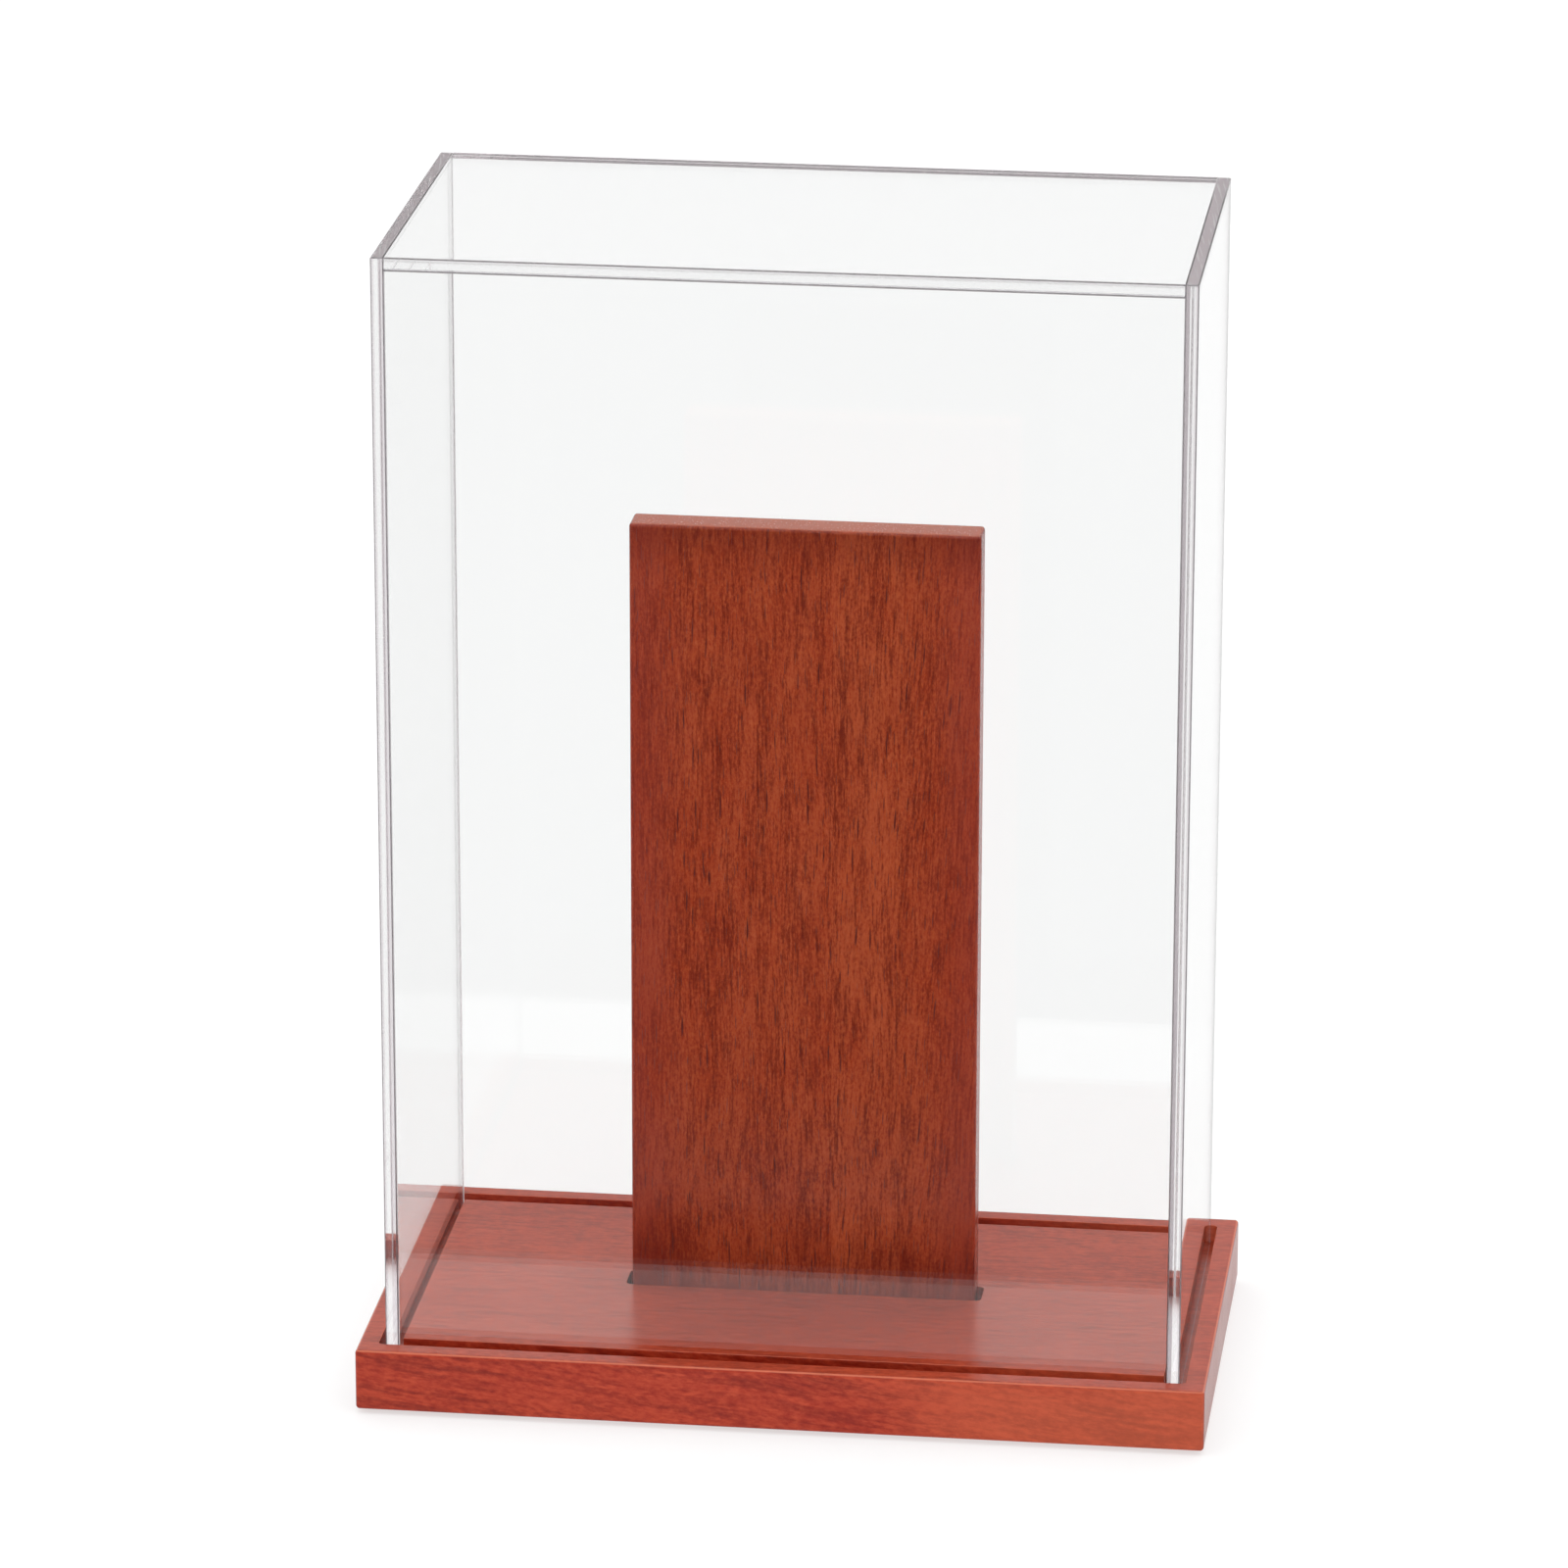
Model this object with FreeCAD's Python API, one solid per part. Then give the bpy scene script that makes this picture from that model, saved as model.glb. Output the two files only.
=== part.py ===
"""Display case for one boxing glove: a wooden base, an upright glove board and a lift-off acrylic cover.

X runs along the front, Y runs from the front to the back and Z runs up from the table.
All sizes are in millimetres.
"""
import FreeCAD, Part
import os

# Acrylic cover, open below
COVER_WIDTH = 250.0
COVER_DEPTH = 130.0
COVER_HEIGHT = 358.0
SHEET = 4.0
SHEET_EDGE_EASE = 0.4

# Wooden base
BASE_HEIGHT = 20.0
BASE_LEDGE = 6.5
BASE_EDGE_RADIUS = 1.2

# Groove that the cover stands in
GROOVE_DEPTH = 6.0
GROOVE_PLAY_OUTSIDE = 2.0
GROOVE_PLAY_INSIDE = 1.0
GROOVE_CUTTER_RADIUS = 1.5

# Glove board, glued up from upright staves, left to right
STAVE_WIDTHS = (40.0, 24.0, 22.0, 24.0)
BOARD_THICKNESS = 12.0
BOARD_RISE = 254.0
BOARD_EDGE_RADIUS = 1.2

# Slot in the base for the foot of the board
TENON_LENGTH = 10.0
MORTISE_PLAY = 0.1
MORTISE_CUTTER_RADIUS = 2.0

# Countersunk screws that hold the board from below
SCREW_SPACING = 76.0
SCREW_LENGTH = 32.0
SCREW_DIAMETER = 4.0
SCREW_HEAD_DIAMETER = 8.0
SCREW_POINT_LENGTH = 5.0
SCREW_PLAY = 0.1
RECESS_SPAN = 4.4
RECESS_WIDTH = 1.0
RECESS_DEPTH = 1.6

# Felt pads under the corners of the base
PAD_DIAMETER = 16.0
PAD_THICKNESS = 1.5
PAD_INSET = 16.0

# Places that follow from the sizes
BASE_BOTTOM = PAD_THICKNESS
BASE_TOP = BASE_BOTTOM + BASE_HEIGHT
GROOVE_FLOOR = BASE_TOP - GROOVE_DEPTH
COVER_TOP = GROOVE_FLOOR + COVER_HEIGHT
GROOVE_WIDTH = COVER_WIDTH + 2 * GROOVE_PLAY_OUTSIDE
GROOVE_LENGTH_Y = COVER_DEPTH + 2 * GROOVE_PLAY_OUTSIDE
BASE_WIDTH = GROOVE_WIDTH + 2 * BASE_LEDGE
BASE_DEPTH = GROOVE_LENGTH_Y + 2 * BASE_LEDGE
BOARD_WIDTH = sum(STAVE_WIDTHS)
BOARD_FOOT = BASE_TOP - TENON_LENGTH

AXIS_X = FreeCAD.Vector(1, 0, 0)
AXIS_Z = FreeCAD.Vector(0, 0, 1)
TOLERANCE = 1e-6


def block(width, depth, height, bottom, x=0.0, y=0.0):
    """A box centred on (x, y) that stands on the given height."""
    corner = FreeCAD.Vector(x - width / 2, y - depth / 2, bottom)
    return Part.makeBox(width, depth, height, corner)


def edges_along(shape, axis):
    """The straight edges of a block that run along one axis."""
    return [edge for edge in shape.Edges if abs(edge.tangentAt(edge.FirstParameter).dot(axis)) > 1 - TOLERANCE]


def edges_at_height(shape, height):
    """The edges that lie flat at one height."""
    return [edge for edge in shape.Edges
            if all(abs(vertex.Z - height) < TOLERANCE for vertex in edge.Vertexes)]


def routed_pocket(width, depth, floor, cutter_radius):
    """A pocket in the top of the base, with the corner radius that its cutter leaves."""
    pocket = block(width, depth, BASE_TOP - floor, floor)
    return pocket.makeFillet(cutter_radius, edges_along(pocket, AXIS_Z))


def cover_groove():
    """The ring that is routed out for the walls of the cover, with play on both sides of the sheet."""
    inset = SHEET + GROOVE_PLAY_INSIDE
    ring = routed_pocket(GROOVE_WIDTH, GROOVE_LENGTH_Y, GROOVE_FLOOR, GROOVE_CUTTER_RADIUS)
    island = block(COVER_WIDTH - 2 * inset, COVER_DEPTH - 2 * inset, GROOVE_DEPTH, GROOVE_FLOOR)
    return ring.cut(island)


def board_mortise():
    """The slot for the board: it runs past both edges by the cutter's radius, so the square board goes in."""
    width = BOARD_WIDTH + 2 * MORTISE_CUTTER_RADIUS
    depth = BOARD_THICKNESS + 2 * MORTISE_PLAY
    return routed_pocket(width, depth, BOARD_FOOT, MORTISE_CUTTER_RADIUS)


def screw_blank(x, play):
    """A countersunk screw with its head flush below the base, grown by the play to make its hole."""
    shank = SCREW_DIAMETER / 2 + play
    head = SCREW_HEAD_DIAMETER / 2 + play
    neck = BASE_BOTTOM + (SCREW_HEAD_DIAMETER - SCREW_DIAMETER) / 2
    tip = BASE_BOTTOM + SCREW_LENGTH
    outline = [
        (0, BASE_BOTTOM),
        (head, BASE_BOTTOM),
        (shank, neck),
        (shank, tip - SCREW_POINT_LENGTH),
        (0, tip + play),
        (0, BASE_BOTTOM),
    ]
    profile = Part.makePolygon([FreeCAD.Vector(x + radius, 0, height) for radius, height in outline])
    return Part.Face(profile).revolve(FreeCAD.Vector(x, 0, 0), AXIS_Z, 360)


def screw_places():
    return (-SCREW_SPACING / 2, SCREW_SPACING / 2)


def screw_holes():
    left, right = [screw_blank(x, SCREW_PLAY) for x in screw_places()]
    return left.fuse(right)


def board_screws():
    """Both screws, each with a cross recess in its head."""
    screws = []
    for x in screw_places():
        bar = block(RECESS_SPAN, RECESS_WIDTH, RECESS_DEPTH, BASE_BOTTOM, x)
        cross_bar = block(RECESS_WIDTH, RECESS_SPAN, RECESS_DEPTH, BASE_BOTTOM, x)
        screws.append(screw_blank(x, 0).cut(bar.fuse(cross_bar)))
    return Part.makeCompound(screws)


def base_plinth():
    plinth = block(BASE_WIDTH, BASE_DEPTH, BASE_HEIGHT, BASE_BOTTOM)
    plinth = plinth.makeFillet(BASE_EDGE_RADIUS, plinth.Edges)
    for hollow in (cover_groove(), board_mortise(), screw_holes()):
        plinth = plinth.cut(hollow)
    return plinth


def board_staves():
    """The board is glued up, rounded over everywhere but at its foot, and then told apart at its joints."""
    height = TENON_LENGTH + BOARD_RISE
    board = block(BOARD_WIDTH, BOARD_THICKNESS, height, BOARD_FOOT)
    exposed = edges_along(board, AXIS_Z) + edges_at_height(board, BOARD_FOOT + height)
    board = board.makeFillet(BOARD_EDGE_RADIUS, exposed).cut(screw_holes())
    staves = []
    left = -BOARD_WIDTH / 2
    for width in STAVE_WIDTHS:
        cut_line = block(width, BOARD_THICKNESS, height, BOARD_FOOT, left + width / 2)
        staves.append(board.common(cut_line))
        left += width
    return staves


def side_panel(side):
    """A side wall of full depth and height, with its outer edges eased. Side is -1 on the left and 1 on the right."""
    outer_face = side * COVER_WIDTH / 2
    sheet = block(SHEET, COVER_DEPTH, COVER_HEIGHT, GROOVE_FLOOR, outer_face - side * SHEET / 2)
    outer_edges = [edge for edge in sheet.Edges
                   if all(abs(vertex.X - outer_face) < TOLERANCE for vertex in edge.Vertexes)]
    foot = edges_at_height(sheet, GROOVE_FLOOR)
    eased = [edge for edge in outer_edges + edges_along(sheet, AXIS_X)
             if not any(edge.isSame(low) for low in foot)]
    return sheet.makeChamfer(SHEET_EDGE_EASE, eased)


def end_panel(side):
    """The front or back wall, between the side walls and under the top. Side is -1 in front and 1 behind."""
    y = side * (COVER_DEPTH - SHEET) / 2
    return block(COVER_WIDTH - 2 * SHEET, SHEET, COVER_HEIGHT - SHEET, GROOVE_FLOOR, 0, y)


def top_panel():
    """The top lies on the front and back walls, between the side walls, with its two outer edges eased."""
    sheet = block(COVER_WIDTH - 2 * SHEET, COVER_DEPTH, SHEET, COVER_TOP - SHEET)
    top_edges = edges_at_height(sheet, COVER_TOP)
    eased = [edge for edge in edges_along(sheet, AXIS_X) if any(edge.isSame(top) for top in top_edges)]
    return sheet.makeChamfer(SHEET_EDGE_EASE, eased)


def felt_pad(x_side, y_side):
    place = FreeCAD.Vector(x_side * (BASE_WIDTH / 2 - PAD_INSET), y_side * (BASE_DEPTH / 2 - PAD_INSET), 0)
    return Part.makeCylinder(PAD_DIAMETER / 2, PAD_THICKNESS, place)


def display_case():
    """Every piece of the case under its own name."""
    pieces = {
        "base_plinth": base_plinth(),
        "board_screws": board_screws(),
        "front_panel": end_panel(-1),
        "back_panel": end_panel(1),
        "left_panel": side_panel(-1),
        "right_panel": side_panel(1),
        "top_panel": top_panel(),
        "front_left_pad": felt_pad(-1, -1),
        "front_right_pad": felt_pad(1, -1),
        "rear_left_pad": felt_pad(-1, 1),
        "rear_right_pad": felt_pad(1, 1),
    }
    for number, stave in enumerate(board_staves(), start=1):
        pieces[f"board_stave_{number}"] = stave
    return pieces


os.makedirs("parts", exist_ok=True)
for name, shape in display_case().items():
    shape.exportStep(f"parts/{name}.step")
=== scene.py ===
import math

import bmesh
import bpy
from mathutils import Matrix, Vector, noise


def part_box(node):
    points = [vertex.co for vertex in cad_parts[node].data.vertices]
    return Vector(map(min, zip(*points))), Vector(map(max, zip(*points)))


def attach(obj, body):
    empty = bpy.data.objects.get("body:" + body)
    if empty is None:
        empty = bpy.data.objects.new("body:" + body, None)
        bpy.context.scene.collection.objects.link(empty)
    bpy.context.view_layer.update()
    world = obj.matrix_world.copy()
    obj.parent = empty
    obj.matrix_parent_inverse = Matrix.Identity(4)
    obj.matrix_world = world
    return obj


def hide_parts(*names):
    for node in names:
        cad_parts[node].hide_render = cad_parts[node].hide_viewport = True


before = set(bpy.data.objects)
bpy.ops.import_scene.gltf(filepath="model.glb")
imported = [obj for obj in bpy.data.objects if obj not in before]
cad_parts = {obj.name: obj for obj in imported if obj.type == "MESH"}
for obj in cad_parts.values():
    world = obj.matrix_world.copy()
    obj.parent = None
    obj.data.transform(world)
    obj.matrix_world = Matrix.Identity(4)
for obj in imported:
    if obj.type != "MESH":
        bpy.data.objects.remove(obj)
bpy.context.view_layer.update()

bl_info = {
    "name": "Boxing glove display case",
    "version": (1, 0, 0),
    "blender": (4, 5, 0),
    "location": "View3D > Sidebar > Display case",
    "description": "Stained base and glove board under a clear acrylic cover",
    "category": "Object",
}

# A millimetre and the smallest gap, in metres
MM = 0.001
HAIR = 0.01 * MM

# The imported nodes that come in groups
SHEETS = ("front_panel", "back_panel", "left_panel", "right_panel", "top_panel")
STAVES = ("board_stave_1", "board_stave_2", "board_stave_3", "board_stave_4")
PADS = ("front_left_pad", "front_right_pad", "rear_left_pad", "rear_right_pad")

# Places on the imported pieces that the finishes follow
WALL_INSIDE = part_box("right_panel")[0].x
TOP_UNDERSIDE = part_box("top_panel")[0].z
BOARD_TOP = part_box(STAVES[0])[1].z
BOARD_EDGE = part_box(STAVES[-1])[1].x

# Fineness of the meshes
CORNER_STEPS = 5
ROUND_STEPS = 4
CIRCLE_POINTS = 32
THREAD_ROWS = 8
SHARP_ANGLE = math.radians(35)

# A face is square to an axis from this part of its normal on, and an edge is a corner from this angle on
SQUARE = 0.99
CORNER_ANGLE = 1.0

# Finishes of a sheet's faces, in the order of its materials
POLISHED, SAWN, WELDED, SCRAPED = range(4)

# Grain that is neither shifted nor turned
UPRIGHT = ((0, 0, 0), (0, 0, 0))

# Stains where the wood differs from the rest of its piece, among them painted shade, sheen and highlight
BOARD_EDGE_STAIN = (0.273, 0.033, 0.022, 1.0)
# The dark tint darkens the band under the board's top and paints shade at its foot; the top tint is a painted
# sheen
BOARD_DARK_TOP_AND_FOOT_SHADE = (0.087, 0.0023, 0.0006, 1.0)
BOARD_TOP_PAINTED_SHEEN = (0.33, 0.084, 0.042, 1.0)
BASE_THIN_STAIN = (0.60, 0.14, 0.06, 1.0)
BASE_TOP_STAIN = (0.20, 0.045, 0.020, 1.0)
BASE_END_STAIN = (0.14, 0.01, 0.006, 1.0)
# A painted highlight for the base's rounded edges
BASE_EDGE_HIGHLIGHT = (0.72, 0.19, 0.09, 1.0)

# How much of the dark grain's red, green and blue is left in a pore
PORE_SHADE = (0.8, 0.5, 0.4)

# How strongly the lacquer and the acrylic bend light
LACQUER_IOR = 1.34
ACRYLIC_IOR = 1.49

# The table and the unlit room before it, as the front of the cover mirrors them
TABLE_FRONT = -187 * MM
TABLE_EDGE = 5 * MM
EDGE_SHADE = 0.65
ROOM_SHADE = 0.23
MIRROR_LOSS = 0.09


# Properties

def length(name, default, description):
    """A length that is kept in metres and shown in the scene's units."""
    return bpy.props.FloatProperty(name=name, description=description, default=default, min=0.0,
                                   precision=5, subtype="DISTANCE", unit="LENGTH")


def angle(name, degrees, description):
    return bpy.props.FloatProperty(name=name, description=description, default=math.radians(degrees),
                                   subtype="ANGLE", unit="ROTATION")


def colour(name, default, description):
    return bpy.props.FloatVectorProperty(name=name, description=description, default=default, size=3,
                                         min=0.0, max=1.0, subtype="COLOR")


def factor(name, default, description, top=1.0):
    return bpy.props.FloatProperty(name=name, description=description, default=default, min=0.0, max=top,
                                   subtype="FACTOR")


class CaseSizes(bpy.types.PropertyGroup):
    """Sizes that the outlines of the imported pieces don't give."""

    edge_radius: length("Edge radius", 1.2 * MM, "Rounding of the edges of the base and the board")
    groove_play_outside: length("Play outside", 2 * MM, "Room in the groove outside the cover's sheet")
    groove_play_inside: length("Play inside", 1 * MM, "Room in the groove inside the cover's sheet")
    groove_corner: length("Groove corner", 1.5 * MM, "Corner radius that the cutter leaves in the groove")
    lip_ease: length("Eased lip", 0.3 * MM, "Sanded edge of the groove and of the slot for the board")
    mortise_play: length("Slot play", 0.1 * MM, "Room on each side of the board in its slot")
    mortise_corner: length("Slot corner", 2 * MM, "Corner radius that the cutter leaves in the slot")
    sheet_ease: length("Eased sheet", 0.4 * MM, "Scraped outer edges of the acrylic sheets")
    rear_ease: length("Eased back", 0.15 * MM, "Scraped edge along the back of the cover's top")
    weld_line: length("Weld line", 0.25 * MM, "Scraped edge on each side of a weld")
    sheet_stand: length("Sheet stand", 0.05 * MM, "Hair of air between the sheets and the groove's floor")
    screw_head: length("Screw head", 8 * MM, "Diameter of a screw's countersunk head")
    screw_shank: length("Screw shank", 4 * MM, "Diameter of a screw over its thread")
    screw_point: length("Screw point", 5 * MM, "Length of a screw's tapered point")
    screw_pitch: length("Thread pitch", 1.8 * MM, "Rise of a screw's thread in one turn")
    screw_play: length("Screw play", 0.1 * MM, "Room round a screw in its hole")
    recess_span: length("Recess span", 4.4 * MM, "Length of each arm pair of the cross recess")
    recess_width: length("Recess width", 1 * MM, "Width of an arm of the cross recess")
    recess_depth: length("Recess depth", 1.6 * MM, "Depth of the cross recess")
    felt_fuzz: length("Felt fuzz", 0.25 * MM, "How far the cut edge of a felt pad is uneven")


class CaseFinish(bpy.types.PropertyGroup):
    """Colours and gloss of the pieces."""

    base_stain: colour("Base stain", (0.285, 0.016, 0.0065), "Middle colour of the base")
    base_light: colour("Base light grain", (0.48, 0.058, 0.022), "Light grain of the base")
    base_dark: colour("Base dark grain", (0.16, 0.010, 0.004), "Dark grain of the base")
    board_stain: colour("Board stain", (0.275, 0.0260, 0.0050), "Middle colour of the board")
    board_light: colour("Board light grain", (0.42, 0.074, 0.021), "Light grain of the board")
    board_dark: colour("Board dark grain", (0.087, 0.0052, 0.0015), "Dark grain and pores of the board")
    lacquer_roughness: factor("Lacquer roughness", 0.24, "Roughness of the satin lacquer")
    acrylic: colour("Acrylic", (0.995, 0.998, 0.997), "Tint of the clear acrylic")
    # The cloudy edge tint greys the front margins of the sawn edges: real frost darkened as painted shade
    acrylic_edge: colour("Cloudy edge", (0.47, 0.36, 0.41), "Tint of the cloudy margins of sawn edges")
    # The weld haze is real; its lighter colour along the back is painted light
    weld: colour("Weld", (0.36, 0.3, 0.34), "Colour of the haze in the welds")
    weld_rear: colour("Weld behind", (0.74, 0.62, 0.67), "Colour of the haze in the welds along the back")
    weld_haze: factor("Weld haze", 0.3, "How much a weld hides")
    # Painted shade: the dark tint of scraped corners and welds in front; painted light: the lighter tint
    # along the back
    acrylic_scraped: colour("Scraped acrylic", (0.09, 0.078, 0.085), "Tint of scraped corners and welds")
    scraped_rear: colour("Scraped behind", (0.8, 0.76, 0.78), "Tint of the scraped corners along the back")
    zinc: colour("Zinc", (0.62, 0.61, 0.58), "Zinc plating of the screws")
    felt: colour("Felt", (0.016, 0.013, 0.011), "Felt of the pads")


class CaseStage(bpy.types.PropertyGroup):
    """Floor, light and camera."""

    floor: colour("Floor", (0.3, 0.3, 0.3), "Pale floor")
    floor_glow: factor("Floor glow", 0.62, "Light of the floor itself, which keeps shadows soft", top=10.0)
    dome_front: factor("Light in front", 0.76, "Brightness of the dome at the horizon in front", top=10.0)
    dome_back: factor("Light behind", 0.86, "Brightness of the dome at the horizon behind", top=10.0)
    dome_top: factor("Light overhead", 2.0, "Brightness of the dome overhead", top=10.0)
    camera_azimuth: angle("Camera azimuth", 7.101, "Turn of the camera to the right of the front")
    camera_elevation: angle("Camera elevation", 18.583, "Height of the camera above the horizon")
    camera_roll: angle("Camera roll", 0.095, "Turn of the picture about its middle")
    camera_view: angle("Field of view", 10.944, "Angle across the square picture")
    camera_distance: length("Camera distance", 2.5669, "From the camera to the point that it looks at")
    camera_aim: bpy.props.FloatVectorProperty(
        name="Camera aim", description="Point that the camera looks at", default=(-0.00725, 0.0, 0.18982),
        subtype="XYZ", unit="LENGTH")


# Shader maths

class Shade:
    """An output of a shader's nodes. Arithmetic on it adds the Math nodes that it spells out."""

    def __init__(self, tree, socket=None):
        self.tree = tree
        self.socket = socket

    def node(self, kind, settings=None, inputs=None, output=0):
        """Adds a node, makes its settings, sets or links its sockets and returns one of its outputs."""
        made = self.tree.nodes.new(kind)
        for key, value in (settings or {}).items():
            setattr(made, key, value)
        set_sockets(made, inputs or {})
        return Shade(self.tree, made.outputs[output])

    def math(self, operation, left, right):
        return self.node("ShaderNodeMath", {"operation": operation}, {0: left, 1: right})

    def __add__(self, other):
        return self.math("ADD", self, other)

    def __radd__(self, other):
        return self.math("ADD", other, self)

    def __sub__(self, other):
        return self.math("SUBTRACT", self, other)

    def __rsub__(self, other):
        return self.math("SUBTRACT", other, self)

    def __mul__(self, other):
        return self.math("MULTIPLY", self, other)

    def __rmul__(self, other):
        return self.math("MULTIPLY", other, self)

    def other(self, output):
        """Another output of the same node."""
        return Shade(self.tree, self.socket.node.outputs[output])

    def step(self, start, end):
        """0 before start, 1 past end and smooth between them. Start may lie above end."""
        return self.node("ShaderNodeMapRange", {"interpolation_type": "SMOOTHSTEP"},
                         {"Value": self, 1: start, 2: end, 3: 0.0, 4: 1.0})

    def tint(self, first, second):
        """The first colour where this is 0 and the second where it is 1."""
        return self.node("ShaderNodeMix", {"data_type": "RGBA", "clamp_factor": True},
                         {0: self, 6: first, 7: second}, 2)


def set_sockets(node, values):
    """Sets constants on a node and links what changes over the surface."""
    for key, value in values.items():
        if isinstance(value, Shade):
            value.tree.links.new(value.socket, node.inputs[key])
        else:
            node.inputs[key].default_value = value


def opaque(rgb):
    return (*rgb, 1.0)


def scaled(rgb, share):
    """A colour made lighter or darker."""
    return opaque(part * share for part in rgb)


def grey(value):
    return (value, value, value, 1.0)


def size_of(value):
    """The size of a number whatever its sign."""
    return value.node("ShaderNodeMath", {"operation": "ABSOLUTE"}, {0: value})


# Materials

def new_material(name):
    """A new material, the places on its piece and its principled shader node."""
    material = bpy.data.materials.new(name)
    material.use_nodes = True
    tree = material.node_tree
    place = Shade(tree).node("ShaderNodeTexCoord", output="Object")
    return material, place, tree.nodes["Principled BSDF"]


def axis_of(vector, axis):
    """One part of a vector. The other two are the other outputs of its node."""
    return vector.node("ShaderNodeSeparateXYZ", None, {"Vector": vector}, axis)


def along_grain(place, size, grain):
    """Places measured in patches. Grain is how far the piece is shifted and how its grain is turned."""
    return place.node("ShaderNodeMapping", {"vector_type": "TEXTURE"},
                      {"Vector": place, "Location": grain[0], "Rotation": grain[1], "Scale": size})


def patches(place, size, grain=UPRIGHT, detail=2.0, rough=0.5, output="Fac"):
    """Cloudy noise whose patches have about the given size along each axis of the grain."""
    spots = along_grain(place, size, grain)
    return place.node("ShaderNodeTexNoise", None,
                      {"Vector": spots, "Scale": 1.0, "Detail": detail, "Roughness": rough}, output)


def vessels(place, size, grain, share, width):
    """Short dark pores along the grain: one in each stretched cell, in a share of the cells."""
    spots = along_grain(place, size, grain)
    cells = place.node("ShaderNodeTexVoronoi", None, {"Vector": spots, "Scale": 1.0}, "Distance")
    chosen = place.node("ShaderNodeSeparateColor", None, {"Color": cells.other("Color")}, "Red")
    return cells.step(width, width * 0.25) * (chosen - share).step(0.06, -0.06)


def bumps(height, strength, distance):
    """A surface that rises and falls with the height."""
    return height.node("ShaderNodeBump", None,
                       {"Strength": strength, "Distance": distance, "Height": height})


def behind(place):
    """1 along the back of the cover and 0 in front."""
    return axis_of(place, "Y").step(30 * MM, 60 * MM)


def stained_wood(name, colours, grain, coarseness, warmth, open_pores, roughness, stain_run):
    """Wood, stained and lacquered. Its grain, pores and warmth make each piece its own."""
    material, place, shader = new_material(name)
    stain, light, dark = colours
    sway = patches(place, (20 * MM, 20 * MM, 50 * MM), grain, 1.0, output="Color")
    sway_reach = 3.5 * MM
    bent = place.node("ShaderNodeVectorMath", {"operation": "MULTIPLY_ADD"},
                      {0: sway, 1: (sway_reach, sway_reach, sway_reach), 2: place})

    def figure(width, run, detail=2.0, rough=0.5):
        """Marks of about the given width across the grain and run along it, in millimetres."""
        size = (width * coarseness * MM, width * coarseness * MM, run * coarseness * MM)
        return patches(bent, size, grain, detail, rough) - 0.5

    cloud, band = figure(11, 34, 3.0), figure(4.2, 50)
    streak, speckle = figure(0.8, 11, 2.0, 0.6), figure(0.6, 1.4, 3.0, 0.65)
    fleck = figure(0.8, 3, 1.0).step(0.1, 0.28)
    glow = cloud * 1.3 + speckle * 2.4 + streak + fleck * 0.6 + warmth
    body = glow.step(-0.85, 1.05).tint(opaque(stain), opaque(light))
    shade = (streak * 2.2 + band * 0.9 + cloud * 0.4 + speckle * 1.2).step(0.3, -0.8)
    body = (shade * 0.72).tint(body, opaque(dark))
    sheen = roughness + cloud * 0.12
    relief = speckle * 0.25 + streak * 0.35
    if open_pores:
        fine = vessels(bent, (0.9 * MM, 0.9 * MM, 12 * MM), grain, band * 2.2 + 0.8, 0.34)
        coarse = vessels(bent, (1.5 * MM, 1.5 * MM, 22 * MM), grain, band * 2.4 + 0.45, 0.27)
        pore = (fine * 0.7 + coarse).step(0.0, 1.0)
        deep = opaque(part * share for part, share in zip(dark, PORE_SHADE))
        body = (pore * 0.9).tint(body, deep)
        sheen = sheen + pore * 0.1
        relief = relief - pore * 0.6
    set_sockets(shader, {"Base Color": stain_run(place, cloud, body), "Roughness": sheen,
                         "Normal": bumps(relief, 0.12, 0.1 * MM), "IOR": LACQUER_IOR})
    return material


def board_stain_run(place, cloud, body):
    """The board's stain is cooler along both edges and darker under the top, with painted shade at the foot
    and a painted sheen on top.
    """
    across = axis_of(place, "X")
    height = across.other("Z")
    rise = axis_of(place.other("Normal"), "Z")
    edge = (size_of(across) + cloud * (16 * MM)).step(BOARD_EDGE - 21 * MM, BOARD_EDGE + 1 * MM)
    top = (height + cloud * (12 * MM)).step(BOARD_TOP - 17.5 * MM, BOARD_TOP - 0.5 * MM)
    foot = (height + cloud * (40 * MM)).step(50 * MM, 8 * MM)
    body = (edge * 0.45).tint(body, BOARD_EDGE_STAIN)
    # Painted shade at the foot, where the board stands in the base; the band under the top is only darker
    body = (top * 0.36 + foot * 0.7).tint(body, BOARD_DARK_TOP_AND_FOOT_SHADE)
    # Painted sheen: the board's upward faces are lightened as if the lacquer mirrored the bright dome
    return (rise.step(0.7, 0.9) * 0.75).tint(body, BOARD_TOP_PAINTED_SHEEN)


def base_stain_run(place, cloud, body):
    """The base's stain is thin to the right, darker and duller on upward faces and deep in the end grain,
    with a painted highlight on rounded edges.
    """
    across = axis_of(place, "X")
    facing = axis_of(place.other("Normal"), "X")
    level = facing.other("Z")
    top = level.step(0.3, 0.7)
    right = (across + cloud * (100 * MM)).step(15 * MM, 125 * MM) * (1.0 - top)
    body = (right * 0.36).tint(body, BASE_THIN_STAIN)
    body = (top * 0.45).tint(body, BASE_TOP_STAIN)
    body = (size_of(facing).step(0.7, 0.95) * 0.6).tint(body, BASE_END_STAIN)
    # Painted highlight on the upper part of the rounded edges, where the lacquer would catch the overhead
    # light
    edge_highlight = level.step(0.5, 0.65) * level.step(0.93, 0.82)
    return (edge_highlight * 0.42).tint(body, BASE_EDGE_HIGHLIGHT)


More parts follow.
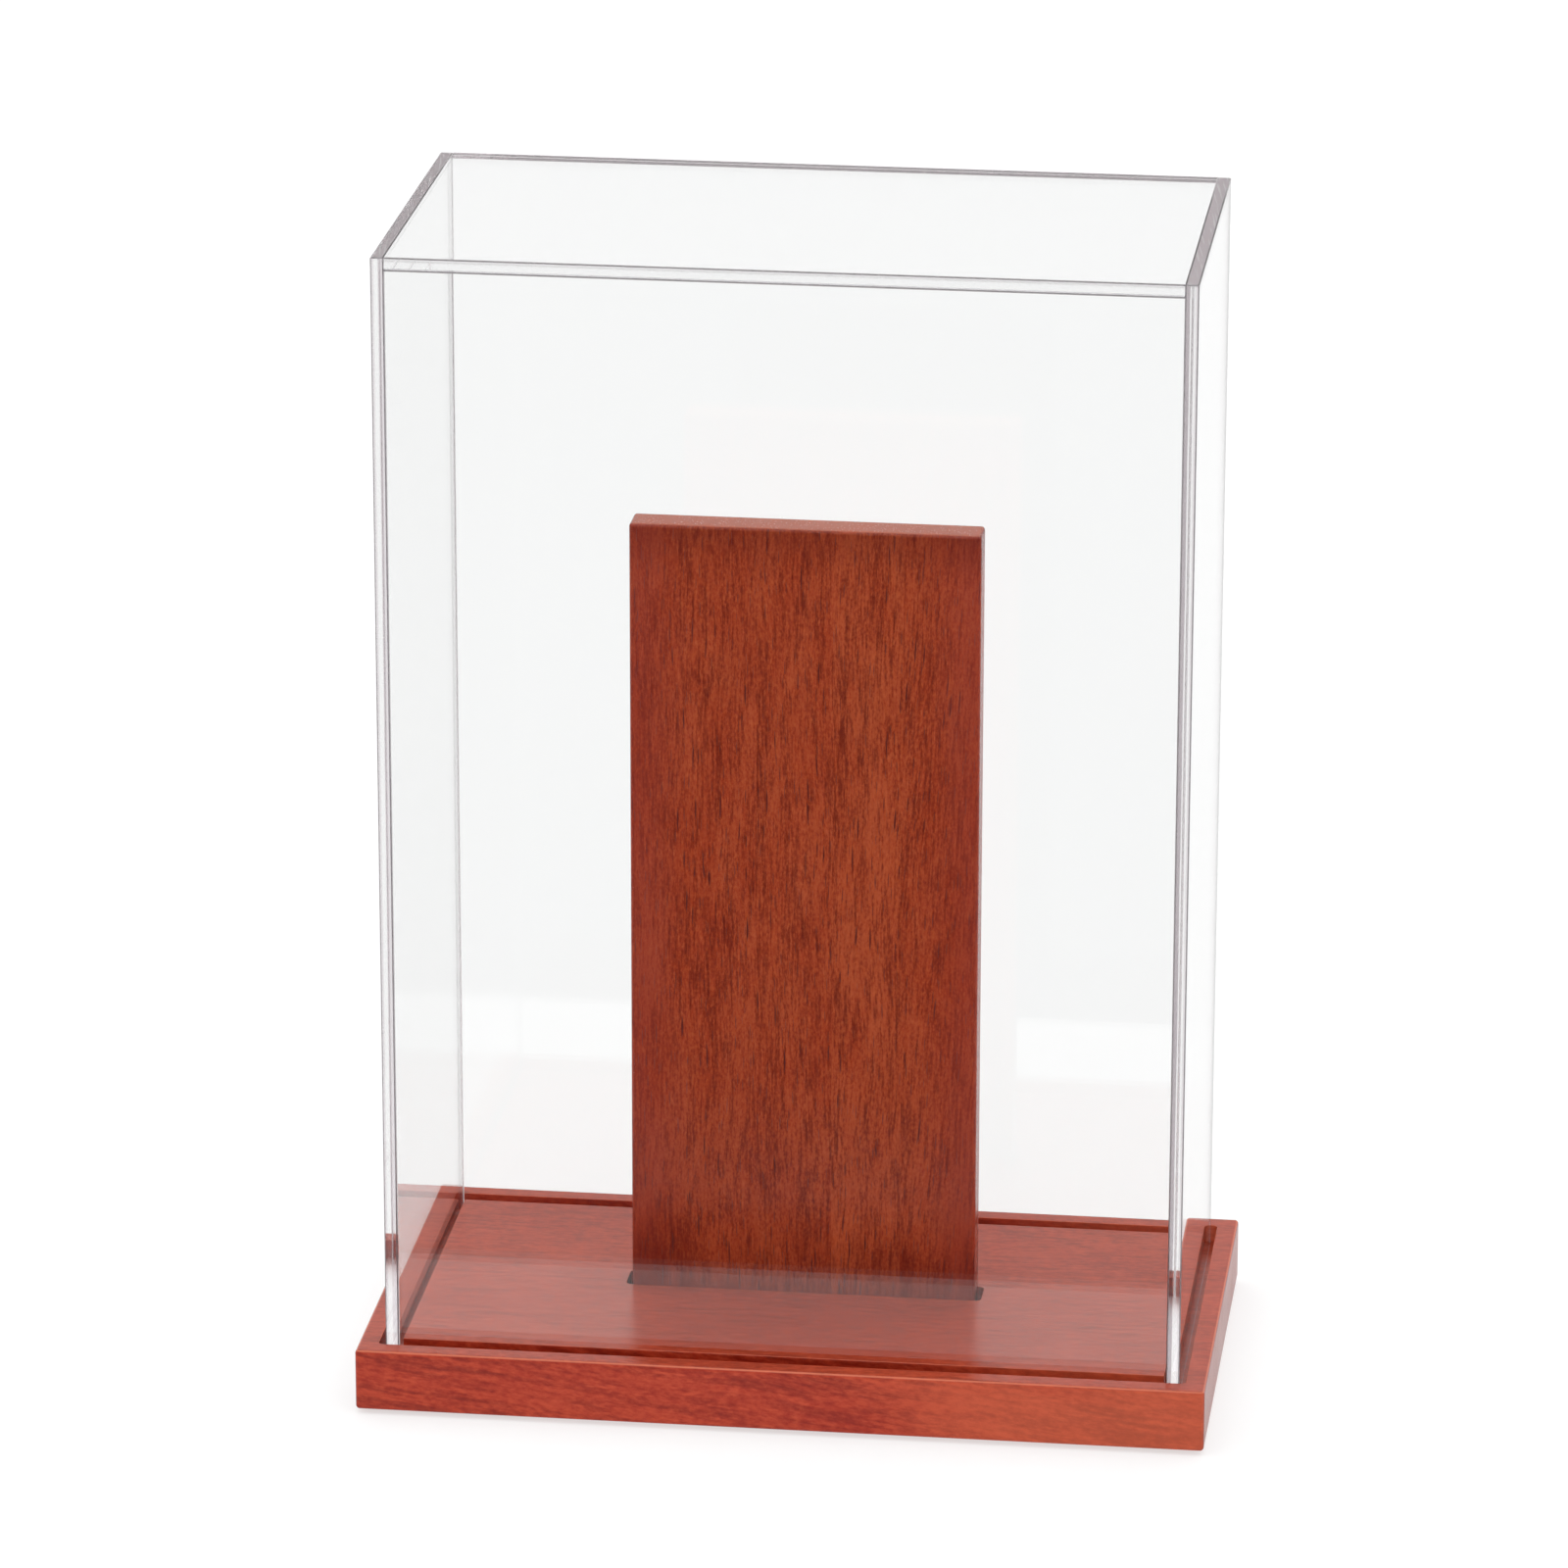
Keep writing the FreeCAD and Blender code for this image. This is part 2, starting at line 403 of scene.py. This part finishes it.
def polished_acrylic(name, tint):
    """Clear cast sheet with only the faintest hairlines."""
    material, place, shader = new_material(name)
    hairlines = patches(place, (0.9 * MM, 50 * MM, 50 * MM), ((0, 0, 0), (0.4, 0.9, 0.3)))
    set_sockets(shader, {"Base Color": opaque(tint), "Roughness": 0.0, "IOR": ACRYLIC_IOR,
                         "Transmission Weight": 1.0, "Normal": bumps(hairlines, 0.004, 0.02 * MM)})
    return material


def sawn_acrylic(name, tint, cloud):
    """The edges of the sheets: cloudy along their front margins, which are greyed there as painted shade,
    matt on top, with a few saw marks low down.
    """
    material, place, shader = new_material(name)
    level = size_of(axis_of(place.other("Normal"), "Z")).step(0.5, 0.9)
    sideways = axis_of(place, "X")
    across, height = size_of(sideways), sideways.other("Z")
    right = sideways.step(WALL_INSIDE - 1 * MM, WALL_INSIDE)
    front = (1.0 - level) * (1.0 - behind(place))
    waver = patches(place, (4 * MM, 4 * MM, 30 * MM), detail=1.0)
    wander = across + (waver - 0.5) * (0.3 * MM)
    margin = (wander + right * (0.3 * MM)).step(WALL_INSIDE + 1.8 * MM, WALL_INSIDE + 1.5 * MM)
    inner = across.step(WALL_INSIDE - 0.1 * MM, WALL_INSIDE + 0.1 * MM) * margin * front
    outer = wander.step(WALL_INSIDE + 2.8 * MM, WALL_INSIDE + 3.2 * MM) * front
    marks = patches(place, (0.5 * MM, 0.5 * MM, 30 * MM), ((0, 0, 0), (0.0, 0.45, 0.0)), 1.0)
    scars = marks.step(0.63, 0.7) * height.step(75 * MM, 35 * MM)
    scrapes = patches(place, (0.7 * MM, 20 * MM, 20 * MM), ((0, 0, 0), (0.0, 0.0, 0.14))).step(0.55, 0.68)
    # The grey of the margins is painted shade on the real frost; the saw marks and matt tops are the edges'
    # own haze
    cloudy = inner * 0.5 + outer * 0.5 + scars * 0.5 + level * (0.8 - scrapes * 0.5)
    body = cloudy.tint(opaque(tint), opaque(cloud))
    # Painted shade: the inner margin of the right wall's front edge is darkened further
    body = (inner * right * 0.8).tint(body, scaled(cloud, 0.42))
    rim = height.step(TOP_UNDERSIDE - 0.2 * MM, TOP_UNDERSIDE + 0.1 * MM) * (1.0 - level)
    matt = 0.02 + 0.3 * level + 0.06 * rim
    set_sockets(shader, {"Base Color": body, "Roughness": matt, "IOR": ACRYLIC_IOR,
                         "Transmission Weight": 0.95, "Normal": bumps(scars, 0.05, 0.05 * MM)})
    return material


def scraped_acrylic(name, shade, light):
    """The eased corners and weld lines, left matt by the scraper, with a dark tint in front as painted shade
    and a lighter one along the back as painted light.
    """
    material, place, shader = new_material(name)
    chatter = patches(place, (2 * MM, 2 * MM, 2 * MM), detail=3.0)
    body = chatter.step(0.3, 0.7).tint(opaque(shade), scaled(shade, 1.25))
    # Painted light: the back is tinted lighter than the front
    body = behind(place).tint(body, opaque(light))
    set_sockets(shader, {"Base Color": body, "Roughness": 0.3 + chatter * 0.15, "IOR": ACRYLIC_IOR,
                         "Transmission Weight": 1.0})
    return material


def weld_joint(name, shade, light, haze):
    """The weld, where two sheets have become one but for a slight haze, tinted lighter along the back as
    painted light.
    """
    material, place, shader = new_material(name)
    bubbles = patches(place, (3 * MM, 3 * MM, 3 * MM))
    # Painted light: the haze is lighter along the back than in front
    body = behind(place).tint(opaque(shade), opaque(light))
    set_sockets(shader, {"Base Color": body, "Alpha": haze * (0.7 + bubbles * 0.6), "Roughness": 0.6,
                         "Specular IOR Level": 0.0})
    return material


def zinc_steel(name, zinc):
    material, place, shader = new_material(name)
    spangle = patches(place, (1.2 * MM, 1.2 * MM, 1.2 * MM), detail=3.0)
    drawn = patches(place, (0.2 * MM, 0.2 * MM, 1.2 * MM))
    set_sockets(shader, {"Base Color": spangle.tint(opaque(zinc), scaled(zinc, 0.72)), "Metallic": 1.0,
                         "Roughness": 0.28 + spangle * 0.2, "Normal": bumps(drawn, 0.12, 0.03 * MM)})
    return material


def pressed_felt(name, felt):
    material, place, shader = new_material(name)
    tuft = patches(place, (0.9 * MM, 0.9 * MM, 0.9 * MM), detail=4.0, rough=0.7)
    fibre = patches(place, (0.2 * MM, 0.8 * MM, 0.3 * MM), detail=3.0)
    body = (tuft * 0.7 + fibre * 0.3).step(0.3, 0.75).tint(opaque(felt), scaled(felt, 3.2))
    set_sockets(shader, {"Base Color": body, "Roughness": 0.95, "Sheen Weight": 0.4, "Sheen Roughness": 0.6,
                         "Normal": bumps(tuft + fibre * 0.6, 0.7, 0.3 * MM)})
    return material


def pale_floor(name, floor, glow):
    """Pale floor that glows a little. Mirrors see it dimmer, and see the unlit room that begins in front."""
    material, place, shader = new_material(name)
    mottle = patches(place, (0.4, 0.4, 0.4), detail=3.0)
    depth = axis_of(place, "Y")
    mirrored = place.node("ShaderNodeLightPath", output="Glossy Depth").step(0.4, 0.6)
    edge = depth.step(TABLE_FRONT, TABLE_FRONT - 1 * MM) * EDGE_SHADE
    room = depth.step(TABLE_FRONT - TABLE_EDGE, TABLE_FRONT - TABLE_EDGE - 1 * MM) * ROOM_SHADE
    unlit = (edge + room + MIRROR_LOSS) * mirrored
    body = mottle.tint(opaque(floor), scaled(floor, 0.985))
    set_sockets(shader, {"Base Color": unlit.tint(body, grey(0.0)), "Roughness": 0.75,
                         "Specular IOR Level": 0.0, "Emission Color": unlit.tint(grey(1.0), grey(0.0)),
                         "Emission Strength": glow})
    return material


# Meshes

def new_piece(name, bm, materials, body, node):
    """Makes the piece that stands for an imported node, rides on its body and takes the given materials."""
    bmesh.ops.recalc_face_normals(bm, faces=bm.faces)
    mesh = bpy.data.meshes.new(name)
    bm.to_mesh(mesh)
    bm.free()
    for material in materials:
        mesh.materials.append(material)
    piece = bpy.data.objects.new(name, mesh)
    bpy.context.scene.collection.objects.link(piece)
    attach(piece, body)
    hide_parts(node)
    return piece


def soften(piece):
    """Smooth shading over rounded edges, with the flat faces kept flat."""
    piece.data.polygons.foreach_set("use_smooth", [True] * len(piece.data.polygons))
    piece.data.set_sharp_from_angle(angle=SHARP_ANGLE)
    weighted = piece.modifiers.new("flat_faces", "WEIGHTED_NORMAL")
    weighted.keep_sharp = True


def corner_ring(corners, height):
    """A level outline through corners given as x, y, radius, anticlockwise from the front right."""
    points = []
    for quarter, (x, y, radius) in enumerate(corners):
        side_x = 1 if quarter in (0, 1) else -1
        side_y = 1 if quarter in (1, 2) else -1
        steps = CORNER_STEPS if radius > 0 else 0
        for step in range(steps + 1):
            turn = math.radians(90 * (quarter - 1) + (90 * step / steps if steps else 0))
            points.append(Vector((x - side_x * radius + radius * math.cos(turn) * (steps > 0),
                                  y - side_y * radius + radius * math.sin(turn) * (steps > 0), height)))
    return points


def rectangle_ring(half_x, half_y, radius, height):
    radius = max(radius, HAIR)
    return corner_ring([(half_x, -half_y, radius), (half_x, half_y, radius), (-half_x, half_y, radius),
                        (-half_x, -half_y, radius)], height)


def circle_ring(x, y, radius, height, points=CIRCLE_POINTS):
    turns = [2 * math.pi * step / points for step in range(points)]
    return [Vector((x + radius * math.cos(turn), y + radius * math.sin(turn), height)) for turn in turns]


def quarter_round(radius):
    """Steps of a rounded edge as its inset and its distance from the face that it starts on."""
    turns = [0.5 * math.pi * step / ROUND_STEPS for step in range(ROUND_STEPS + 1)]
    return [(radius * (1 - math.sin(turn)), radius * (1 - math.cos(turn))) for turn in turns]


def loft(bm, rings):
    """Skins rings of the same number of points one after the other and returns their rows of vertices."""
    rows = [[bm.verts.new(point) for point in ring] for ring in rings]
    for low, high in zip(rows, rows[1:]):
        for start in range(len(low)):
            end = (start + 1) % len(low)
            bm.faces.new((low[start], low[end], high[end], high[start]))
    return rows


def fill(bm, *rows):
    """A flat face inside the first row, with the other rows left open as holes."""
    edges = [bm.edges.get((row[at - 1], row[at])) for row in rows for at in range(len(row))]
    bmesh.ops.triangle_fill(bm, use_beauty=True, use_dissolve=False, edges=edges)


def screw_axes():
    low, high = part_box("board_screws")
    reach = (high.y - low.y) / 2
    return (low.x + reach, high.x - reach)


def build_plinth(sizes):
    """The base with its rounded edges, the cover's groove, the board's slot and the screw holes."""
    low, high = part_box("base_plinth")
    cover_low, cover_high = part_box("left_panel")[0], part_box("right_panel")[1]
    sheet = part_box("left_panel")[1].x - cover_low.x
    board_low, board_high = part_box(STAVES[0])[0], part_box(STAVES[-1])[1]
    outside = cover_high.xy + Vector((1, 1)) * sizes.groove_play_outside
    inside = cover_high.xy - Vector((1, 1)) * (sheet + sizes.groove_play_inside)
    slot = Vector((board_high.x + sizes.mortise_corner, board_high.y + sizes.mortise_play))
    round_over = quarter_round(sizes.edge_radius)
    lip = quarter_round(sizes.lip_ease)

    def outer_ring(inset, height):
        return rectangle_ring(high.x - inset, high.y - inset, sizes.edge_radius - inset, height)

    def lip_ring(half, radius, inset, drop):
        return rectangle_ring(half.x + inset, half.y + inset, radius, high.z - drop)

    rings = [outer_ring(inset, low.z + rise) for inset, rise in round_over]
    rings += [outer_ring(inset, high.z - drop) for inset, drop in reversed(round_over)]
    rings += [lip_ring(outside, sizes.groove_corner + inset, inset, drop) for inset, drop in lip]
    rings.append(rectangle_ring(outside.x, outside.y, sizes.groove_corner, cover_low.z))
    rings.append(rectangle_ring(inside.x, inside.y, HAIR, cover_low.z))
    rings += [lip_ring(inside, HAIR, -inset, drop) for inset, drop in reversed(lip)]
    rings += [lip_ring(slot, sizes.mortise_corner + inset, inset, drop) for inset, drop in lip]
    rings.append(rectangle_ring(slot.x, slot.y, sizes.mortise_corner, board_low.z))
    bm = bmesh.new()
    rows = loft(bm, rings)
    neck = (sizes.screw_head - sizes.screw_shank) / 2
    head_radius = sizes.screw_head / 2 + sizes.screw_play
    shank_radius = sizes.screw_shank / 2 + sizes.screw_play
    holes = [loft(bm, [circle_ring(x, 0, head_radius, low.z), circle_ring(x, 0, shank_radius, low.z + neck),
                       circle_ring(x, 0, shank_radius, board_low.z)]) for x in screw_axes()]
    fill(bm, rows[0], *[hole[0] for hole in holes])
    fill(bm, rows[-1], *[hole[-1] for hole in holes])
    return bm


def build_stave(node, first, last, radius):
    """One stave of the board, rounded over along the top and along an outer edge of the board."""
    low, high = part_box(node)
    top_steps = [(inset, high.z - drop) for inset, drop in reversed(quarter_round(radius))]
    rings = []
    for inset, height in [(0, low.z), *top_steps]:
        left, right = low.x + inset * first, high.x - inset * last
        corner = max(radius - inset, HAIR)
        left_round, right_round = corner * first, corner * last
        rings.append(corner_ring([(right, low.y + inset, right_round), (right, high.y - inset, right_round),
                                  (left, high.y - inset, left_round), (left, low.y + inset, left_round)],
                                 height))
    bm = bmesh.new()
    rows = loft(bm, rings)
    bm.faces.new(rows[0])
    bm.faces.new(rows[-1])
    return bm


def grid_shell(cuts):
    """The closed surface of a block, cut along planes given for each axis."""
    bm = bmesh.new()
    verts = {}

    def vert(*at):
        if at not in verts:
            verts[at] = bm.verts.new([cuts[axis][step] for axis, step in enumerate(at)])
        return verts[at]

    for axis in range(3):
        across, along = (axis + 1) % 3, (axis + 2) % 3
        for end in (0, len(cuts[axis]) - 1):
            for i in range(len(cuts[across]) - 1):
                for j in range(len(cuts[along]) - 1):
                    quad = []
                    for di, dj in ((0, 0), (1, 0), (1, 1), (0, 1)):
                        at = [0, 0, 0]
                        at[axis], at[across], at[along] = end, i + di, j + dj
                        quad.append(vert(*at))
                    bm.faces.new(quad)
    return bm


def sheet_boxes(sizes):
    """The sheets' boxes, with the walls a hair above the groove's floor and the top a hair off the sides."""
    boxes = {name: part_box(name) for name in SHEETS}
    floor = min(low.z for low, high in boxes.values())
    for low, high in boxes.values():
        if low.z == floor:
            low.z += sizes.sheet_stand
    top_low, top_high = boxes["top_panel"]
    top_low.x += HAIR / 2
    top_high.x -= HAIR / 2
    return boxes


def build_sheet(node, sizes):
    """One sheet of the cover, marked out where others are welded on and eased along the cover's outside."""
    boxes = sheet_boxes(sizes)
    low, high = boxes[node]
    thin = min(range(3), key=lambda axis: high[axis] - low[axis])
    others = [box for name, box in boxes.items() if name != node]
    cuts = []
    for axis in range(3):
        inner = {round(corner[axis], 7) for box in others for corner in box
                 if low[axis] + HAIR < corner[axis] < high[axis] - HAIR}
        cuts.append([low[axis], *sorted(inner), high[axis]])
    bm = grid_shell(cuts)
    bmesh.ops.recalc_face_normals(bm, faces=bm.faces)
    outer_low = [min(box[0][axis] for box in boxes.values()) for axis in range(3)]
    outer_high = [max(box[1][axis] for box in boxes.values()) for axis in range(3)]

    def outside(point):
        """The outer planes of the whole cover that a point lies on, its open foot apart."""
        planes = {axis for axis in (0, 1) if abs(point[axis] - outer_low[axis]) < HAIR}
        return planes | {axis + 3 for axis in (0, 1, 2) if abs(point[axis] - outer_high[axis]) < HAIR}

    def outer_planes(edge):
        return len(outside(edge.verts[0].co) & outside(edge.verts[1].co))

    def joined(face):
        """Whether a face lies on a neighbouring sheet."""
        centre = face.calc_center_median()
        return any(all(box[0][axis] - HAIR < centre[axis] < box[1][axis] + HAIR for axis in range(3))
                   for box in others)

    def dry(face):
        """Whether a face lies at an end of the top, where it only touches the side walls."""
        return abs(face.normal.x) > SQUARE and face.calc_center_median().z > boxes["top_panel"][0].z

    def beside_weld(edge):
        return edge.calc_face_angle() > CORNER_ANGLE and sum(joined(face) for face in edge.link_faces) == 1

    def ease(edges, width):
        if edges:
            bmesh.ops.bevel(bm, geom=edges, offset=width, offset_type="OFFSET", segments=1, profile=0.5,
                            affect="EDGES", clamp_overlap=False)

    def finish(face):
        if max(abs(part) for part in face.normal) <= SQUARE:
            return SCRAPED
        if joined(face) and not dry(face):
            return WELDED
        return POLISHED if abs(face.normal[thin]) > SQUARE else SAWN

    corners = [edge for edge in bm.edges if outer_planes(edge) == 2]
    rear = [edge for edge in corners if node == "top_panel" and edge.verts[0].co.y > 0]
    ease([edge for edge in corners if edge not in rear], sizes.sheet_ease)
    ease(rear, sizes.rear_ease)
    ease([edge for edge in bm.edges if outer_planes(edge) == 1 and beside_weld(edge)], sizes.weld_line)
    for face in bm.faces:
        face.material_index = finish(face)
    return bm


def build_screw(bm, x, sizes):
    """A countersunk screw with a cross recess in its head and a coarse wood thread."""
    neck_share, core_share, recess_taper = 0.82, 0.68, 0.45
    plain_turns, ridge_slope = 3, 4
    low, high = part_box("board_screws")
    foot, tip = low.z, high.z
    neck = foot + (sizes.screw_head - sizes.screw_shank) / 2
    shank = sizes.screw_shank / 2
    rings = [circle_ring(x, 0, sizes.screw_head / 2, foot), circle_ring(x, 0, shank * neck_share, neck)]
    start = neck + plain_turns * sizes.screw_pitch
    count = round((tip - start) / sizes.screw_pitch * THREAD_ROWS)
    for step in range(count):
        height = start + (tip - start) * step / count
        taper = min(1.0, (tip - height) / sizes.screw_point)
        ring = []
        for at in range(CIRCLE_POINTS):
            turn = at / CIRCLE_POINTS - step / THREAD_ROWS
            ridge = max(0.0, 1 - abs(turn % 1.0 - 0.5) * ridge_slope)
            radius = shank * taper * (core_share + (1 - core_share) * ridge)
            spin = 2 * math.pi * at / CIRCLE_POINTS
            ring.append(Vector((x + radius * math.cos(spin), radius * math.sin(spin), height)))
        rings.append(ring)
    rows = loft(bm, rings)
    point = bm.verts.new((x, 0, tip))
    for at in range(CIRCLE_POINTS):
        bm.faces.new((rows[-1][at - 1], rows[-1][at], point))
    arm, half = sizes.recess_span / 2, sizes.recess_width / 2
    outline = [(arm, -half), (arm, half), (half, half), (half, arm), (-half, arm), (-half, half),
               (-arm, half), (-arm, -half), (-half, -half), (-half, -arm), (half, -arm), (half, -half)]
    cross = loft(bm, [[Vector((x + px * scale, py * scale, foot + rise)) for px, py in outline]
                      for scale, rise in ((1.0, 0.0), (recess_taper, sizes.recess_depth))])
    fill(bm, rows[0], cross[0])
    bm.faces.new(cross[-1])


def build_pad(node, fuzz):
    """A punched felt disc with a soft, slightly uneven edge."""
    soft_share, soft_step, tufts_per_metre = 0.25, 0.3, 900.0
    low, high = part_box(node)
    centre = (low + high) / 2
    radius, soft = (high.x - low.x) / 2, soft_share * (high.z - low.z)
    bend = soft_step * soft
    profile = [(radius - soft, low.z), (radius - bend, low.z + bend), (radius, low.z + soft),
               (radius, centre.z), (radius, high.z - soft), (radius - bend, high.z - bend),
               (radius - soft, high.z)]
    rings = []
    for reach, height in profile:
        ring = circle_ring(centre.x, centre.y, reach, height, 2 * CIRCLE_POINTS)
        for point in ring:
            pull = fuzz * abs(noise.noise(point * tufts_per_metre))
            outward = Vector((point.x - centre.x, point.y - centre.y, 0)).normalized()
            point -= outward * pull
        rings.append(ring)
    bm = bmesh.new()
    rows = loft(bm, rings)
    bm.faces.new(rows[0])
    bm.faces.new(rows[-1])
    return bm


# Operators

class CASE_OT_plinth(bpy.types.Operator):
    """Makes the wooden base with its groove, slot and screw holes"""

    bl_idname = "display_case.plinth"
    bl_label = "Base"
    bl_options = {"REGISTER", "UNDO"}

    def execute(self, context):
        finish = context.scene.case_finish
        lengthways = ((0.03, 0.01, 0.02), (0.0, math.radians(97), 0.0))
        wood = stained_wood("base_stained_wood", (finish.base_stain, finish.base_light, finish.base_dark),
                            lengthways, coarseness=2.2, warmth=0.0, open_pores=False,
                            roughness=finish.lacquer_roughness, stain_run=base_stain_run)
        bm = build_plinth(context.scene.case_sizes)
        soften(new_piece("plinth", bm, [wood], "base", "base_plinth"))
        return {"FINISHED"}


class CASE_OT_board(bpy.types.Operator):
    """Makes the four glued staves of the glove board"""

    bl_idname = "display_case.board"
    bl_label = "Glove board"
    bl_options = {"REGISTER", "UNDO"}

    def execute(self, context):
        finish = context.scene.case_finish
        colours = (finish.board_stain, finish.board_light, finish.board_dark)
        leans = (0.004, -0.01, 0.012, 0.05)
        warmths = (-0.12, 0.0, 0.2, -0.05)
        for at, node in enumerate(STAVES):
            grain = ((0.11 * at, 0.07 * at, 0.23 * at), (0.0, leans[at], 0.0))
            wood = stained_wood(f"board_stained_wood_{at + 1}", colours, grain, coarseness=1.0,
                                warmth=warmths[at], open_pores=True, roughness=finish.lacquer_roughness,
                                stain_run=board_stain_run)
            bm = build_stave(node, at == 0, at == len(STAVES) - 1, context.scene.case_sizes.edge_radius)
            soften(new_piece(f"stave_{at + 1}", bm, [wood], "base", node))
        return {"FINISHED"}


class CASE_OT_cover(bpy.types.Operator):
    """Makes the five welded sheets of the clear cover"""

    bl_idname = "display_case.cover"
    bl_label = "Acrylic cover"
    bl_options = {"REGISTER", "UNDO"}

    def execute(self, context):
        finish = context.scene.case_finish
        clear = [polished_acrylic("clear_acrylic", finish.acrylic),
                 sawn_acrylic("acrylic_edge", finish.acrylic, finish.acrylic_edge),
                 weld_joint("acrylic_weld", finish.weld, finish.weld_rear, finish.weld_haze),
                 scraped_acrylic("acrylic_scraped", finish.acrylic_scraped, finish.scraped_rear)]
        for node in SHEETS:
            bm = build_sheet(node, context.scene.case_sizes)
            new_piece(node.replace("panel", "sheet"), bm, clear, "cover", node)
        return {"FINISHED"}


class CASE_OT_screws(bpy.types.Operator):
    """Makes the two screws that hold the board from below"""

    bl_idname = "display_case.screws"
    bl_label = "Screws"
    bl_options = {"REGISTER", "UNDO"}

    def execute(self, context):
        bm = bmesh.new()
        for x in screw_axes():
            build_screw(bm, x, context.scene.case_sizes)
        steel = zinc_steel("zinc_plated_steel", context.scene.case_finish.zinc)
        soften(new_piece("screws", bm, [steel], "base", "board_screws"))
        return {"FINISHED"}


class CASE_OT_pads(bpy.types.Operator):
    """Makes the four felt pads under the base"""

    bl_idname = "display_case.pads"
    bl_label = "Felt pads"
    bl_options = {"REGISTER", "UNDO"}

    def execute(self, context):
        felt = pressed_felt("dark_felt", context.scene.case_finish.felt)
        for node in PADS:
            bm = build_pad(node, context.scene.case_sizes.felt_fuzz)
            soften(new_piece(f"{node}_felt", bm, [felt], "base", node))
        return {"FINISHED"}


class CASE_OT_stage(bpy.types.Operator):
    """Makes the pale floor, the soft light and the camera"""

    bl_idname = "display_case.stage"
    bl_label = "Stage"
    bl_options = {"REGISTER", "UNDO"}

    def execute(self, context):
        stage = context.scene.case_stage
        self.lay_floor(context.scene, stage)
        self.hang_dome(context.scene, stage)
        self.place_camera(context.scene, stage)
        self.set_light_paths(context.scene)
        return {"FINISHED"}

    def lay_floor(self, scene, stage):
        reach = 12.0
        bm = bmesh.new()
        bmesh.ops.create_grid(bm, x_segments=8, y_segments=8, size=reach)
        mesh = bpy.data.meshes.new("floor")
        bm.to_mesh(mesh)
        bm.free()
        mesh.materials.append(pale_floor("pale_floor", stage.floor, stage.floor_glow))
        floor = bpy.data.objects.new("floor", mesh)
        floor.location.z = -HAIR
        scene.collection.objects.link(floor)

    def hang_dome(self, scene, stage):
        """A white dome, brightest overhead and dimmest in front."""
        world = bpy.data.worlds.new("soft_dome")
        scene.world = world
        world.use_nodes = True
        way = Shade(world.node_tree).node("ShaderNodeTexCoord", output="Generated")
        rise = axis_of(way, "Z")
        horizon = rise.other("Y").step(0.2, 0.7).tint(grey(stage.dome_front), grey(stage.dome_back))
        light = rise.step(0.42, 0.78).tint(horizon, grey(stage.dome_top))
        set_sockets(world.node_tree.nodes["Background"], {"Color": light, "Strength": 1.0})

    def place_camera(self, scene, stage):
        data = bpy.data.cameras.new("camera")
        data.sensor_fit = "HORIZONTAL"
        data.lens_unit = "FOV"
        data.angle = stage.camera_view
        data.clip_end = 100.0
        camera = bpy.data.objects.new("camera", data)
        scene.collection.objects.link(camera)
        turn, rise = stage.camera_azimuth, stage.camera_elevation
        back = Vector((math.sin(turn) * math.cos(rise), -math.cos(turn) * math.cos(rise), math.sin(rise)))
        spin = Matrix.Rotation(stage.camera_roll, 4, "Z")
        look = (-back).to_track_quat("-Z", "Y").to_matrix().to_4x4()
        place = Vector(stage.camera_aim) + back * stage.camera_distance
        camera.matrix_world = Matrix.Translation(place) @ look @ spin
        scene.camera = camera

    def set_light_paths(self, scene):
        """Light runs a long way inside clear sheets, so it may bounce there often and stays sharp."""
        scene.view_settings.view_transform = "Standard"
        scene.cycles.blur_glossy = 0.0
        scene.cycles.max_bounces = 48
        scene.cycles.glossy_bounces = 32
        scene.cycles.transmission_bounces = 40
        scene.cycles.transparent_max_bounces = 64


class CASE_PT_panel(bpy.types.Panel):
    """Sizes, finishes and makers of the display case"""

    bl_idname = "CASE_PT_panel"
    bl_label = "Display case"
    bl_space_type = "VIEW_3D"
    bl_region_type = "UI"
    bl_category = "Display case"

    def draw(self, context):
        scene = context.scene
        for title, group in (("Sizes", scene.case_sizes), ("Finish", scene.case_finish),
                             ("Stage", scene.case_stage)):
            box = self.layout.box()
            box.label(text=title)
            for name in group.__annotations__:
                box.prop(group, name)
        for maker in MAKERS:
            self.layout.operator(maker.bl_idname)


MAKERS = (CASE_OT_plinth, CASE_OT_board, CASE_OT_cover, CASE_OT_screws, CASE_OT_pads, CASE_OT_stage)
GROUPS = {"case_sizes": CaseSizes, "case_finish": CaseFinish, "case_stage": CaseStage}


def register():
    for cls in (*GROUPS.values(), *MAKERS, CASE_PT_panel):
        bpy.utils.register_class(cls)
    for name, group in GROUPS.items():
        setattr(bpy.types.Scene, name, bpy.props.PointerProperty(type=group))


def unregister():
    for name in GROUPS:
        delattr(bpy.types.Scene, name)
    for cls in (CASE_PT_panel, *reversed(MAKERS), *reversed(GROUPS.values())):
        bpy.utils.unregister_class(cls)


def main():
    register()
    bpy.ops.display_case.plinth()
    bpy.ops.display_case.board()
    bpy.ops.display_case.cover()
    bpy.ops.display_case.screws()
    bpy.ops.display_case.pads()
    bpy.ops.display_case.stage()


if __name__ == "__main__":
    main()
